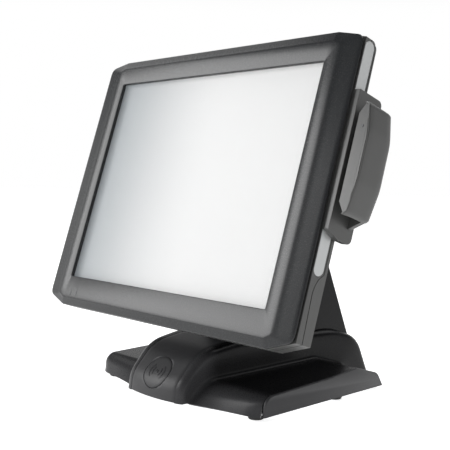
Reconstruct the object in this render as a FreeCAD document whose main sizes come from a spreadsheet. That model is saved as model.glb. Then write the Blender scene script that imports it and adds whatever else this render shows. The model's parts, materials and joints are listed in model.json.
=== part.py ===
import FreeCAD, Part
import math
import os
import re

import Sketcher

# A countertop point-of-sale touch terminal, in millimetres.
# The base stands on z = 0 and is symmetric about x = 0. The screen faces -Y.
# Head pieces are drawn in the head's own frame: x to the right, y backwards from the bezel's front edge
# and z up along the screen, with the origin at the middle of the screen opening.

DIMENSIONS = [
    # the tilted head and where it stands
    ("head_tilt", 17.16, "lean of the screen from the vertical, degrees"),
    ("head_fore", 96, "screen centre in front of the origin"),
    ("head_height", 220.5, "screen centre above the counter"),
    ("hinge_back", 84, "tilt axis behind the bezel's front edge"),
    ("hinge_down", 20, "tilt axis below the screen centre"),
    # screen and front bezel
    ("screen_wide", 306, "clear opening of the bezel"),
    ("screen_high", 230, "clear opening of the bezel"),
    ("head_half", 190, "half the head's width"),
    ("head_low", 148, "bezel's lower edge below the screen centre"),
    ("head_top", 144, "bezel's upper edge above the screen centre"),
    ("corner_run", 30, "clipped corner, along the width"),
    ("corner_drop", 6, "clipped upper corner, along the height"),
    ("corner_low", 10, "clipped lower corner, along the height"),
    ("band_half", 165, "half width of the flat front band"),
    ("band_low", 139, "flat front band, lower edge"),
    ("band_top", 134, "flat front band, upper edge"),
    ("bezel_edge", 3.4, "depth of the bezel's outer edge"),
    ("groove_back", 7.4, "rear of the groove behind the bezel"),
    ("groove_deep", 3, "depth of that groove"),
    ("lip_back", 3, "thickness of the bezel's lip over the glass"),
    ("gasket_thick", 1.4, "dust gasket"),
    ("glass_thick", 3, "touch glass"),
    ("glass_margin", 9, "glass hidden behind the lip on each side"),
    ("lcd_thick", 10, "display module"),
    ("chassis_front", 18.6, "front of the steel chassis plate"),
    ("chassis_thick", 1.5, "steel chassis plate"),
    # housing behind the bezel
    ("seam_high", 23, "depth of the side seam behind the silver inlay"),
    ("seam_low", 13.5, "depth of the side seam below the inlay"),
    ("seam_foot", 16, "depth of the side seam at the lower edge"),
    ("seam_gap", 0.6, "open seam between housing halves"),
    ("back_edge", 26.6, "rear face of the flat border, low on the head"),
    ("back_edge_top", 24.4, "rear face of the flat border, high on the head"),
    ("back_round", 9, "rounded upper rear edge"),
    ("bulge_margin", 9, "flat border round the raised back"),
    ("back_half", 150, "half width of the raised back"),
    ("back_low", 116, "raised back, lower edge"),
    ("back_top", 104, "raised back, upper edge"),
    ("back_depth", 55, "rear face of the raised back"),
    ("wall", 2.5, "plastic wall"),
    ("inlay_top", 136, "upper end of the silver side inlay"),
    ("inlay_low", 78.5, "lower end of the silver side inlay"),
    ("inlay_front", 8.2, "front edge of the inlay"),
    ("inlay_wide", 13, "width of the inlay"),
    ("inlay_thick", 1.6, "thickness of the inlay"),
    # card reader on the head's right side
    ("reader_plate", 7, "thickness of the reader's mounting wall"),
    ("reader_slot", 7.4, "width of the card slot"),
    ("reader_out", 217, "outer face of the reader"),
    ("reader_top", 72, "reader's upper end"),
    ("reader_low", 24, "reader's lower end"),
    ("reader_front", 4, "reader's front face"),
    ("plate_front", 7, "mounting wall's front edge"),
    ("lens_high", 52.3, "height of the reader's light"),
    ("reader_back", 37, "reader's rear face"),
    ("plate_top", 88, "mounting wall's upper end"),
    ("plate_low", 44.5, "mounting wall's lower end"),
    ("plate_back", 40, "mounting wall's rear edge"),
    ("slot_floor", 27, "depth of the card slot's closed rear"),
    # tilt hinge
    ("shaft_r", 5, "hinge shaft"),
    ("running", 0.05, "running clearance of the shaft"),
    ("ear_r", 12, "rounded end of the head bracket's ears"),
    ("core_r", 14, "rounded top of the neck core"),
    ("ear_in", 14, "inner face of a head bracket ear"),
    ("ear_out", 18, "outer face of a head bracket ear"),
    ("core_in", 25, "inner face of a neck core plate"),
    ("core_out", 28, "outer face of a neck core plate"),
    # neck
    ("neck_half_low", 52, "half width of the neck at the base"),
    ("neck_half_top", 39, "half width of the neck at the top"),
    ("neck_top", 197, "top of the neck"),
    ("slot_half", 22, "half width of the gap for the head bracket"),
    # base
    ("floor_z", 4.2, "lower edge of the base housing"),
    ("base_half", 127, "half width of the base"),
    ("hump_front", 135, "front of the hump, before the origin"),
    ("hump_rear", 136, "rear of the hump, behind the origin"),
    ("hump_half_front", 41, "half width of the hump at its front"),
    ("hump_half_rear", 66, "half width of the hump at its rear"),
    ("hump_top", 59, "height of the hump under the neck"),
    ("hump_crest", 7, "rounded crest on both sides of the hump"),
    ("wing_front", 121, "front of the wings beside the hump"),
    ("wing_front_high", 23, "height of the wings at the front"),
    ("wing_rear_high", 30, "height of the wings at the rear"),
    ("wing_rear", 95.5, "rear end of the wings"),
    ("rim_gap", 1.6, "gap between the base plate and the housing"),
    ("panel_thick", 3, "end panels"),
    ("panel_gap", 0.3, "gap around the end panels"),
    ("pod_half", 35, "half width of the central front panel"),
    ("pod_end", 40, "central front panel ends this far before the origin"),
    ("disc_r", 17.6, "contactless reading mark"),
    ("disc_fore", 122, "mark's centre before the origin"),
    ("disc_high", 29.5, "mark's centre height"),
    ("disc_lean", 40, "lean of the mark from the vertical, degrees"),
    ("foot_r", 8, "rubber foot"),
    ("floor_thick", 2, "steel base plate"),
    ("screw_r", 1.5, "small screws"),
    ("button_r", 3.9, "power button"),
    ("button_back", 18.8, "depth of the power button's centre"),
]

doc = FreeCAD.newDocument("pos_terminal")
sheet = doc.addObject("Spreadsheet::Sheet", "dims")
parts = []

HINGE_Y = "(hinge_back * cos(head_tilt) - hinge_down * sin(head_tilt) - head_fore)"
HINGE_Z = "(head_height - hinge_down * cos(head_tilt) - hinge_back * sin(head_tilt))"


def fill_sheet():
    """Writes the driving dimensions, one per row: note, value, alias."""
    for row, (name, value, note) in enumerate(DIMENSIONS, 1):
        sheet.set(f"A{row}", note)
        sheet.set(f"B{row}", str(value))
        sheet.setAlias(f"B{row}", name)
    doc.recompute()


def dim(name):
    return float(sheet.get(name))


def bound(text):
    """Turns 'wall + 2' into an expression that reads the sheet."""
    return re.sub(r"\b([a-z]\w*)\b(?!\()", r"dims.\1", str(text))


# ---------------------------------------------------------------- drawing helpers

def new_body(label):
    body = doc.addObject("PartDesign::Body", label)
    body.Label = label
    return body


def new_sketch(body, plane, offset):
    """A sketch on one of the body's origin planes, offset along +X, +Y or +Z."""
    sketch = body.newObject("Sketcher::SketchObject", "Sketch")
    support = next(item for item in body.Origin.OriginFeatures if item.Role == plane + "_Plane")
    sketch.AttachmentSupport = [(support, "")]
    sketch.MapMode = "FlatFace"
    sign = "-" if plane == "XZ" else ""
    sketch.setExpression("AttachmentOffset.Base.z", bound(f"{sign}({offset})"))
    return sketch


def polygon(sketch, corners):
    """A closed outline whose corners are pairs of sheet expressions."""
    count = len(corners)
    seeds = [FreeCAD.Vector(10 * math.cos(2 * math.pi * k / count), 10 * math.sin(2 * math.pi * k / count), 0)
             for k in range(count)]
    lines = [Part.LineSegment(seeds[k], seeds[(k + 1) % count]) for k in range(count)]
    first = sketch.addGeometry(lines, False)[0]
    for k in range(count):
        sketch.addConstraint(Sketcher.Constraint("Coincident", first + k, 2, first + (k + 1) % count, 1))
    for k, (across, along) in enumerate(corners):
        for kind, text, seed in (("DistanceX", across, seeds[k].x), ("DistanceY", along, seeds[k].y)):
            index = sketch.addConstraint(Sketcher.Constraint(kind, -1, 1, first + k, 1, seed))
            sketch.setExpression(f"Constraints[{index}]", bound(text))


def pad(body, plane, corners, start, end):
    """Adds the outline between two offsets along the plane's axis."""
    sketch = new_sketch(body, plane, start)
    polygon(sketch, corners)
    feature = body.newObject("PartDesign::Pad", "Pad")
    feature.Profile = sketch
    feature.Reversed = plane == "XZ"
    feature.setExpression("Length", bound(f"({end}) - ({start})"))
    doc.recompute()
    return feature


def carve(body, plane, corners):
    """Cuts the outline right through the body, both ways."""
    sketch = new_sketch(body, plane, "0")
    polygon(sketch, corners)
    before = body.Shape.Volume
    feature = body.newObject("PartDesign::Pocket", "Pocket")
    feature.Profile = sketch
    feature.SideType = "Symmetric"
    feature.Length = 2000
    doc.recompute()
    if not body.Shape.Volume < before:
        raise RuntimeError(f"{body.Label}: a pocket cut nothing")
    return feature


def loft(body, sections):
    """A straight-sided loft through (plane, corners, offset) sections."""
    sketches = []
    for plane, corners, offset in sections:
        sketch = new_sketch(body, plane, offset)
        polygon(sketch, corners)
        sketches.append(sketch)
    feature = body.newObject("PartDesign::AdditiveLoft", "Loft")
    feature.Profile = sketches[0]
    feature.Sections = sketches[1:]
    feature.Ruled = True
    doc.recompute()
    return feature


def round_edges(body, radius, wanted):
    """Rounds the edges of the body's tip that wanted(edge) picks."""
    tip = body.Tip
    names = [f"Edge{k + 1}" for k, edge in enumerate(tip.Shape.Edges) if wanted(edge)]
    if not names:
        raise RuntimeError(f"{body.Label}: no edge to round")
    feature = body.newObject("PartDesign::Fillet", "Fillet")
    feature.Base = (tip, names)
    feature.setExpression("Radius", bound(radius))
    doc.recompute()
    return feature


def prism(label, plane, corners, start, end):
    body = new_body(label)
    pad(body, plane, corners, start, end)
    return body


def block(label, x, y, z):
    """A box between pairs of expressions on each axis."""
    box = doc.addObject("Part::Box", label)
    for side, axis, (low, high) in (("Length", "x", x), ("Width", "y", y), ("Height", "z", z)):
        box.setExpression(side, bound(f"({high}) - ({low})"))
        box.setExpression(f"Placement.Base.{axis}", bound(low))
    return box


def rod(label, radius, axis, start, length):
    """A cylinder from its start point along +X, +Y or +Z."""
    turn = {"x": ((0, 1, 0), 90), "y": ((1, 0, 0), -90), "z": ((0, 0, 1), 0)}[axis]
    cylinder = doc.addObject("Part::Cylinder", label)
    cylinder.Placement = FreeCAD.Placement(FreeCAD.Vector(), FreeCAD.Rotation(FreeCAD.Vector(*turn[0]), turn[1]))
    cylinder.setExpression("Radius", bound(radius))
    cylinder.setExpression("Height", bound(length))
    for name, text in zip("xyz", start):
        cylinder.setExpression(f"Placement.Base.{name}", bound(text))
    return cylinder


def fuse(label, shapes):
    if len(shapes) == 1:
        return shapes[0]
    result = doc.addObject("Part::MultiFuse", label)
    result.Shapes = list(shapes)
    return result


def cut(label, base, tools):
    result = doc.addObject("Part::Cut", label)
    result.Base = base
    result.Tool = fuse(label + "_tools", tools)
    return result


def common(label, first, second):
    result = doc.addObject("Part::Common", label)
    result.Base = first
    result.Tool = second
    return result


def group(label, shapes):
    """Identical separate solids kept together as one node."""
    result = doc.addObject("Part::Compound", label)
    result.Links = list(shapes)
    return result


def in_head(item):
    """Places a piece drawn in the head's frame."""
    item.Placement = FreeCAD.Placement(FreeCAD.Vector(), FreeCAD.Rotation(FreeCAD.Vector(-1, 0, 0), 10))
    item.setExpression("Placement.Rotation.Angle", bound("head_tilt"))
    item.setExpression("Placement.Base.y", bound("-head_fore"))
    item.setExpression("Placement.Base.z", bound("head_height"))
    return item


def keep(label, item):
    """Marks a finished sub-part."""
    item.Label = label
    parts.append(item)
    return item


def keep_head(label, item):
    """A finished head piece; a bare primitive keeps its own place inside a group."""
    if item.isDerivedFrom("Part::Primitive"):
        item = group(label + "_piece", [item])
    return keep(label, in_head(item))


# ---------------------------------------------------------------- outlines

def octagon(half, low, top, run, low_drop, top_drop):
    """An outline with clipped corners, half wide each way, from -low to top."""
    right = [(f"({half}) - {run}", f"-({low})"), (half, f"-({low}) + {low_drop}"),
             (half, f"({top}) - {top_drop}"), (f"({half}) - {run}", top)]
    left = [(f"-({across})", along) for across, along in reversed(right)]
    return right + left


def head_outline(inset="0"):
    return octagon(f"head_half - {inset}", f"head_low - {inset}", f"head_top - {inset}", "corner_run",
                   "corner_low", "corner_drop")


# ---------------------------------------------------------------- head: front

LIGHTS = ("-144.8", "-134.2")


def window_box(label, margin, y):
    """A box round the screen opening, margin wider on each side."""
    half_x, half_z = f"(screen_wide / 2 + {margin})", f"(screen_high / 2 + {margin})"
    return block(label, (f"-{half_x}", half_x), y, (f"-{half_z}", half_z))


def make_front_bezel():
    body = new_body("bezel_form")
    front = octagon("band_half", "band_low", "band_top", "6", "4", "4")
    loft(body, [("XZ", front, "0"), ("XZ", head_outline(), "bezel_edge")])
    pad(body, "XZ", head_outline("groove_deep"), "bezel_edge", "groove_back")
    window = window_box("bezel_window", "0", ("-1", "groove_back + 1"))
    seat = window_box("bezel_seat", "glass_margin + 1", ("lip_back", "groove_back + 1"))
    holes = [rod(f"light_hole_{k}", "1.6", "y", (x, "-1", "-133"), "groove_back + 2")
             for k, x in enumerate(LIGHTS)]
    keep_head("front_bezel", cut("bezel_cut", body, [window, seat] + holes))


def make_status_light_pipes():
    pipes = [rod(f"light_pipe_{k}", "1.5", "y", (x, "0.2", "-133"), "groove_back + 4")
             for k, x in enumerate(LIGHTS)]
    keep_head("status_light_pipes", group("status_light_group", pipes))


def make_screen_stack():
    glass_front = "lip_back + gasket_thick"
    lcd_front = f"{glass_front} + glass_thick + 0.2"
    outer = window_box("gasket_outer", "glass_margin", ("lip_back", glass_front))
    inner = window_box("gasket_inner", "0.5", ("0", "20"))
    keep_head("screen_gasket", cut("gasket_cut", outer, [inner]))
    keep_head("touch_glass", window_box("glass_form", "glass_margin",
                                        (glass_front, f"{glass_front} + glass_thick")))
    keep_head("lcd_panel", window_box("lcd_form", "glass_margin - 2", (lcd_front, f"{lcd_front} + lcd_thick")))


# ---------------------------------------------------------------- head: housing

def seam_region(label, shift, far):
    """Everything between the side seam, moved by shift, and the depth far."""
    seam = [("seam_foot", "-head_low - 2"), ("seam_low", "-93"), ("seam_low + 1.5", "-86"),
            ("seam_high - 5", "-80"), ("seam_high", "-76"), ("seam_high", "head_top - 16"),
            ("back_edge_top - back_round - 0.6", "head_top - 7"),
            ("back_edge_top - back_round - 0.6", "head_top + 2")]
    outline = [(f"{depth} + ({shift})", height) for depth, height in seam]
    outline += [(far, "head_top + 2"), (far, "-head_low - 2")]
    return prism(label, "YZ", outline, "-head_half - 5", "head_half + 5")


def inlay_form(label, side, margin, outside):
    """A round-ended bar on one side of the head: a silver inlay, or the recess for it."""
    radius = f"(inlay_wide / 2 + {margin})"
    middle = "(inlay_front + inlay_wide / 2)"
    low_z, top_z = "-inlay_low + inlay_wide / 2", "inlay_top - inlay_wide / 2"
    inner = "head_half - inlay_thick"
    x_low, x_high = (inner, f"head_half + {outside}") if side > 0 else (f"-head_half - {outside}", f"-({inner})")
    band = block(label + "_band", (x_low, x_high), (f"{middle} - {radius}", f"{middle} + {radius}"),
                 (low_z, top_z))
    ends = [rod(f"{label}_end_{k}", radius, "x", (x_low, middle, z), f"inlay_thick + {outside}")
            for k, z in enumerate((low_z, top_z))]
    return fuse(label, [band] + ends)


def inlay_recesses(label, margin):
    return [inlay_form(f"{label}_recess_{side + 1}", side, margin, "3") for side in (-1, 1)]


def make_side_frame():
    ring = prism("frame_ring", "XZ", head_outline(), "groove_back", "seam_high")
    carve(ring, "XZ", head_outline("wall"))
    behind = seam_region("behind_seam", "-seam_gap / 2", "90")
    keep_head("side_frame", cut("frame_cut", ring, [behind] + inlay_recesses("frame", "0.15")))


def make_side_inlays():
    for name, side in (("right", 1), ("left", -1)):
        keep_head(f"side_inlay_{name}", inlay_form(f"inlay_{name}_form", side, "0", "0.2"))


def shell_form(label, inset):
    """The closed form of the rear housing; inset shrinks it for the hollow."""
    body = new_body(label)
    outer = head_outline(inset)
    border = head_outline(f"bulge_margin + {inset}")
    raised = octagon(f"back_half - {inset}", f"back_low - {inset}", f"back_top - {inset}", "16", "16", "16")
    pad(body, "XZ", outer, "groove_back + 0.5", "back_edge + 4")
    behind = [(f"back_edge_top - {inset}", "head_top - 14"), (f"back_edge_top - {inset} + 0.2", "head_top + 1"),
              ("back_edge + 9", "head_top + 1"), ("back_edge + 9", "-head_low - 1"),
              (f"back_edge - {inset}", "-head_low - 1"), (f"back_edge - {inset}", "-43")]
    carve(body, "YZ", behind)
    round_edges(body, f"back_round - {inset}", lambda edge: edge.BoundBox.XLength > 200
                and edge.CenterOfMass.z > dim("head_top") - 9 and edge.CenterOfMass.y > 19)
    bulge = new_body(label + "_bulge")
    loft(bulge, [("XZ", border, f"back_edge_top - {inset} - 2"), ("XZ", raised, f"back_depth - {inset}")])
    return fuse(label + "_whole", [body, bulge])


def vent_slots(tag, z_low, z_high):
    """Two banks of upright slots through the rear face."""
    slots = []
    for bank in (-1, 1):
        for k in range(8):
            x = f"{bank} * (48 + {k} * 9)"
            slots.append(block(f"{tag}_{bank + 1}_{k}", (f"{x} - 2", f"{x} + 2"), ("40", "60"), (z_low, z_high)))
    return slots


# connectors along the lower rear edge: name, centre, width, depth, and the hollow left inside each
PORTS = (("lan_jack", -96, 17, 14, 13, 9), ("usb_sockets", -68, 17, 14, 13, 8),
         ("serial_socket", -34, 31, 12, 18, 8), ("printer_socket", 12, 31, 12, 18, 8),
         ("power_inlet", 56, 14, 14, 10, 10))
PORT_FRONT = "35"


def make_rear_cover():
    form = shell_form("cover_form", "0")
    hollow = shell_form("cover_hollow", "wall")
    ahead = seam_region("ahead_of_seam", "seam_gap / 2", "-5")
    hinge_gap = block("hinge_gap", ("-slot_half", "slot_half"), ("back_depth - 5", "back_depth + 5"),
                      ("-hinge_down - ear_r - 4", "-hinge_down + ear_r + 4"))
    mouths = [block(f"{name}_mouth", (f"{x} - {wide} / 2 - 0.5", f"{x} + {wide} / 2 + 0.5"),
                    (f"{PORT_FRONT} - 0.5", f"{PORT_FRONT} + {deep} + 0.5"), ("-head_low - 5", "-back_low + 20"))
              for name, x, wide, deep, _, _ in PORTS]
    button_hole = rod("button_hole", "button_r + 0.3", "x", ("-head_half - 5", "button_back", "-112"), "12")
    vents = vent_slots("upper_vent", "40", "84") + vent_slots("lower_vent", "-84", "-56")
    places = [(x, z) for x in ("-136", "136") for z in ("-98", "86")]
    sinks = [rod(f"cover_sink_{k}", "screw_r + 1.5", "y", (x, "back_depth - 1", z), "4")
             for k, (x, z) in enumerate(places)]
    skin = cut("cover_skin", form, [hollow])
    tools = [ahead, hinge_gap, button_hole] + inlay_recesses("cover", "0.15") + mouths + vents + sinks
    keep_head("rear_cover", cut("cover_cut", skin, tools))
    screws = [rod(f"cover_screw_{k}", "screw_r + 1.2", "y", (x, "back_depth - 0.9", z), "0.8")
              for k, (x, z) in enumerate(places)]
    keep_head("rear_cover_screws", group("cover_screw_group", screws))


def make_ports():
    """Connectors on the lower edge of the main board, open downwards."""
    for name, x, wide, deep, hollow_wide, hollow_deep in PORTS:
        shell = block(f"{name}_shell", (f"{x} - {wide} / 2", f"{x} + {wide} / 2"),
                      (PORT_FRONT, f"{PORT_FRONT} + {deep}"), ("-back_low - 3", "-back_low + 14"))
        middle = f"({PORT_FRONT} + {deep} / 2)"
        hollow = block(f"{name}_hollow", (f"{x} - {hollow_wide} / 2", f"{x} + {hollow_wide} / 2"),
                       (f"{middle} - {hollow_deep} / 2", f"{middle} + {hollow_deep} / 2"),
                       ("-back_low - 10", "-back_low + 7"))
        keep_head(name, cut(f"{name}_cut", shell, [hollow]))


# ---------------------------------------------------------------- head: inside

def make_inner_pieces():
    chassis_back = "chassis_front + chassis_thick"
    plate = block("chassis_form", ("-168", "168"), ("chassis_front", chassis_back), ("-126", "122"))
    windows = [block(f"chassis_window_{k}", (x, f"{x} + 60"), ("0", "40"), ("40", "100"))
               for k, x in enumerate(("-150", "90"))]
    keep_head("chassis_plate", cut("chassis_cut", plate, windows))
    board = block("main_board_form", ("-112", "112"), ("33.2", "34.8"), ("-112", "88"))
    ear_window = block("ear_window", ("-slot_half", "slot_half"), ("30", "40"),
                       ("-hinge_down - ear_r - 3", "-hinge_down + ear_r + 3"))
    keep_head("main_board", cut("main_board_cut", board, [ear_window]))
    base = block("heat_sink_base", ("-40", "40"), ("35.2", "38"), ("10", "80"))
    fins = [block(f"heat_sink_fin_{k}", (f"-40 + {k} * 8.7", f"-38.3 + {k} * 8.7"), ("37.9", "50"), ("10", "80"))
            for k in range(10)]
    keep_head("heat_sink", fuse("heat_sink_form", [base] + fins))
    keep_head("storage_drive", block("drive_form", ("56", "104"), ("35.4", "42.4"), ("-84", "-14")))
    keep_head("touch_controller_board", block("controller_form", ("-146", "-120"), ("26", "27.6"), ("-60", "10")))
    keep_head("power_switch_board", block("switch_form", ("-181.5", "-180"), ("14.5", "23.5"), ("-122", "-102")))
    speakers = [block(f"speaker_{k}", (x, f"{x} + 40"), ("20.6", "32"), ("-122", "-104"))
                for k, x in enumerate(("-164", "124"))]
    keep_head("speakers", group("speaker_group", speakers))


def make_power_button():
    """The button on the left side: a cap with a flange behind the wall."""
    cap = rod("button_cap", "button_r", "x", ("-head_half - 0.8", "button_back", "-112"), "6")
    flange = rod("button_flange", "button_r + 1", "x", ("-head_half + wall + 0.5", "button_back", "-112"), "1.5")
    keep_head("power_button", fuse("button_form", [cap, flange]))


# ---------------------------------------------------------------- tilt hinge

def make_hinge():
    """The bracket on the chassis, its shaft through the neck core and the friction bushes between them."""
    axis_y, axis_z = "hinge_back", "-hinge_down"
    back = "chassis_front + chassis_thick"
    plate = block("bracket_plate", ("-40", "40"), (back, f"{back} + 3"), ("-60", "22"))
    pieces, holes = [plate], []
    for side in (-1, 1):
        x = ("ear_in", "ear_out") if side > 0 else ("-ear_out", "-ear_in")
        pieces.append(block(f"ear_bar_{side + 1}", x, (f"{back} + 2", axis_y),
                            (f"{axis_z} - ear_r", f"{axis_z} + ear_r")))
        pieces.append(rod(f"ear_end_{side + 1}", "ear_r", "x", (x[0], axis_y, axis_z), "ear_out - ear_in"))
    holes.append(rod("ear_bore", "shaft_r + 0.02", "x", ("-30", axis_y, axis_z), "60"))
    keep_head("hinge_head_bracket", cut("bracket_cut", fuse("bracket_form", pieces), holes))
    bolts = [rod(f"bracket_bolt_{k}", "4", "y", (x, f"{back} + 3", z), "3")
             for k, (x, z) in enumerate((x, z) for x in ("-32", "32") for z in ("-52", "14"))]
    keep_head("bracket_bolts", group("bracket_bolt_group", bolts))
    keep_head("hinge_shaft", rod("shaft_form", "shaft_r", "x", ("-34.5", axis_y, axis_z), "69"))
    nuts = [cut(f"nut_{side + 1}", rod(f"nut_form_{side + 1}", "8", "x",
                                       ("core_out + 0.4" if side > 0 else "-core_out - 5.4", axis_y, axis_z), "5"),
                [rod(f"nut_bore_{side + 1}", "shaft_r + 0.02", "x", ("-40", axis_y, axis_z), "80")])
            for side in (-1, 1)]
    keep_head("hinge_nuts", group("nut_group", nuts))


def make_friction_bushes():
    bushes = []
    for side in (-1, 1):
        x = "ear_out + 0.3" if side > 0 else "-core_in"
        disc = rod(f"bush_form_{side + 1}", "ear_r - 1", "x", (x, HINGE_Y, HINGE_Z), "core_in - ear_out - 0.3")
        bore = rod(f"bush_bore_{side + 1}", "shaft_r + running", "x", ("-40", HINGE_Y, HINGE_Z), "80")
        bushes.append(cut(f"bush_{side + 1}", disc, [bore]))
    keep("friction_bushes", group("bush_group", bushes))


# ---------------------------------------------------------------- card reader

SLOT_X = "(head_half + reader_plate + reader_slot)"
SPLIT_X = f"({SLOT_X} + 11)"
LENS_X = f"({SLOT_X} + 6.3)"


def reader_form():
    """The lens-shaped outer body and the taller rear web that closes the card slot."""
    outer = [("reader_out - 3", "-reader_low + 1"), ("reader_out + 2", "4"), ("reader_out + 2", "46"),
             ("reader_out - 4", "reader_top")]
    front = [(f"{SLOT_X} + 6", "-reader_low")] + outer + [(f"{SLOT_X} + 5", "reader_top"),
                                                          (SLOT_X, "reader_top - 8"), (SLOT_X, "-reader_low + 9")]
    form = prism("reader_form", "XZ", front, "reader_front", "reader_back")
    round_edges(form, "2", lambda edge: edge.CenterOfMass.y > dim("reader_back") - 0.1)
    rear = [("head_half + reader_plate + 0.3", "-reader_low - 8"), (f"{SLOT_X} + 2", "-reader_low - 3")] + outer
    rear += [(f"{SLOT_X} + 2", "reader_top + 5"), ("head_half + reader_plate + 0.3", "reader_top + 8")]
    web = prism("reader_web", "XZ", rear, "reader_front + slot_floor", "reader_back")
    round_edges(web, "2", lambda edge: edge.CenterOfMass.y > dim("reader_back") - 0.1)
    return fuse("reader_whole", [form, web])


def make_card_reader():
    outline = [("plate_front", "-plate_low + 6"), ("plate_front", "plate_top"), ("plate_back", "plate_top"),
               ("plate_back", "-plate_low"), ("plate_back - 18", "-plate_low")]
    plate = prism("reader_plate_form", "YZ", outline, "head_half + 0.4", "head_half + reader_plate")
    round_edges(plate, "5", lambda edge: edge.BoundBox.XLength > 3 and edge.CenterOfMass.y > dim("plate_back") - 1)
    keep_head("reader_wall", plate)

    whole = reader_form()
    outside = block("reader_outside", (SPLIT_X, "reader_out + 20"), ("0", "60"), ("-60", "100"))
    lens_hole = rod("lens_hole", "1.5", "y", (LENS_X, "0", "lens_high"), "9")
    keep_head("reader_cover", common("reader_cover_form", whole, outside))
    keep_head("reader_lens", rod("reader_lens_form", "1.4", "y",
                                  (LENS_X, "reader_front - 0.3", "lens_high"), "4.6"))
    inside = block("reader_inside", ("head_half", f"{SPLIT_X} - 0.2"), ("0", "60"), ("-60", "100"))
    pickup_well = block("pickup_well", (f"{SLOT_X} - 1", f"{SLOT_X} + 7"), ("12", "26"), ("17", "33"))
    board_well = block("board_well", (f"{SLOT_X} + 6.2", f"{SPLIT_X} + 1"),
                       ("reader_front + 3", "reader_back - 3"), ("-reader_low + 8", "reader_top - 14"))
    keep_head("reader_housing", cut("reader_housing_cut", common("reader_housing_form", whole, inside),
                                    [pickup_well, board_well, lens_hole]))
    keep_head("reader_board", block("reader_board_form", (f"{SLOT_X} + 8", f"{SLOT_X} + 9.6"), ("9", "32"),
                                    ("-12", "50")))


def make_magnetic_pickup():
    """The read head, which floats sideways on a leaf spring."""
    head = block("pickup_form", (f"{SLOT_X} - 0.6", f"{SLOT_X} + 4"), ("13", "25"), ("18", "32"))
    keep_head("magnetic_pickup", head)
    keep_head("pickup_leaf_spring", block("leaf_form", (f"{SLOT_X} + 5.3", f"{SLOT_X} + 5.7"), ("14", "24"),
                                          ("17.3", "32.7")))


# ---------------------------------------------------------------- base

def hump_form(label, inset, bottom="floor_z"):
    """The arched middle of the base, wider at the rear; inset shrinks it for the hollow."""
    body = new_body(label)
    profile = [(f"-hump_front + {inset}", bottom), (f"-hump_front + 3 + {inset}", "22"),
               (f"-104 + 0.7 * {inset}", f"51 - 0.8 * {inset}"), ("-60", f"58 - {inset}"),
               ("78", f"hump_top - {inset}"), (f"117 - 0.7 * {inset}", f"47 - 0.7 * {inset}"),
               (f"hump_rear - {inset}", bottom)]
    pad(body, "YZ", profile, "-hump_half_rear - 1", "hump_half_rear + 1")
    for radius, across in (("40", -132), ("50", -104), ("80", 78), ("35", 117)):
        round_edges(body, radius, lambda edge: edge.BoundBox.XLength > 50 and abs(edge.CenterOfMass.y - across) < 6
                    and edge.CenterOfMass.z > 15)
    for side in (1, -1):
        carve(body, "XY", [(f"{side} * (hump_half_front - {inset})", "-hump_front - 5"),
                           (f"{side} * (hump_half_rear - {inset})", "hump_rear + 5"),
                           (f"{side} * 200", "hump_rear + 5"), (f"{side} * 200", "-hump_front - 5")])
    crest = f"hump_crest - {inset}"
    low = dim("floor_z") + 0.5
    round_edges(body, crest, lambda edge: edge.CenterOfMass.z > low and edge.BoundBox.XLength < 30
                and edge.BoundBox.ZMax > low + 2)
    return body


def side_line(inset):
    """Right-hand end of the wings seen from above."""
    return [(f"base_half - ({inset})", "-100"), (f"base_half - 2.5 - ({inset})", "0"),
            (f"base_half - 14 - ({inset})", "wing_rear + 3")]


def wing_form(label, inset, side_inset, bottom="floor_z"):
    """The two low wings in one form; inset shrinks it for the hollow."""
    body = new_body(label)
    profile = [(f"-wing_front + {inset}", bottom), (f"-wing_front + {inset}", f"9 - 0.6 * {inset}"),
               (f"-97 + 0.5 * {inset}", f"wing_front_high + 0.6 - {inset}"),
               ("44", f"wing_rear_high + 0.5 - {inset}"), (f"84 - {inset}", f"19.5 - {inset}"),
               (f"wing_rear - {inset}", bottom)]
    pad(body, "YZ", profile, "-base_half - 1", "base_half + 1")
    for across in (44, -97):
        round_edges(body, "18", lambda edge: edge.BoundBox.XLength > 50 and abs(edge.CenterOfMass.y - across) < 4
                    and edge.CenterOfMass.z > 18)
    for side in (1, -1):
        line = [("46", f"-wing_front + {inset}"), ("112", f"-108 + {inset}")] + side_line(side_inset)
        line += [("200", "wing_rear + 3"), ("200", "-150"), ("46", "-150")]
        carve(body, "XY", [(f"{side} * ({across})", along) for across, along in line])
    return body


def end_region(label, side, inset):
    """Everything outside the end line of one wing."""
    line = [(f"base_half - ({inset})", "-160")] + side_line(inset) + [("200", "wing_rear + 3"), ("200", "-160")]
    return prism(label, "XY", [(f"{side} * ({across})", along) for across, along in line], "-10", "80")


def mark_rod(label, radius, depth, length):
    """A disc-shaped tool square to the front panel, starting depth behind the mark's centre."""
    tool = doc.addObject("Part::Cylinder", label)
    tool.Placement = FreeCAD.Placement(FreeCAD.Vector(), FreeCAD.Rotation(FreeCAD.Vector(1, 0, 0), 10))
    tool.setExpression("Placement.Rotation.Angle", bound("90 - disc_lean"))
    tool.setExpression("Placement.Base.y", bound(f"-disc_fore + ({depth}) * cos(disc_lean)"))
    tool.setExpression("Placement.Base.z", bound(f"disc_high - ({depth}) * sin(disc_lean)"))
    tool.setExpression("Radius", bound(radius))
    tool.setExpression("Height", bound(length))
    return tool


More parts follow.
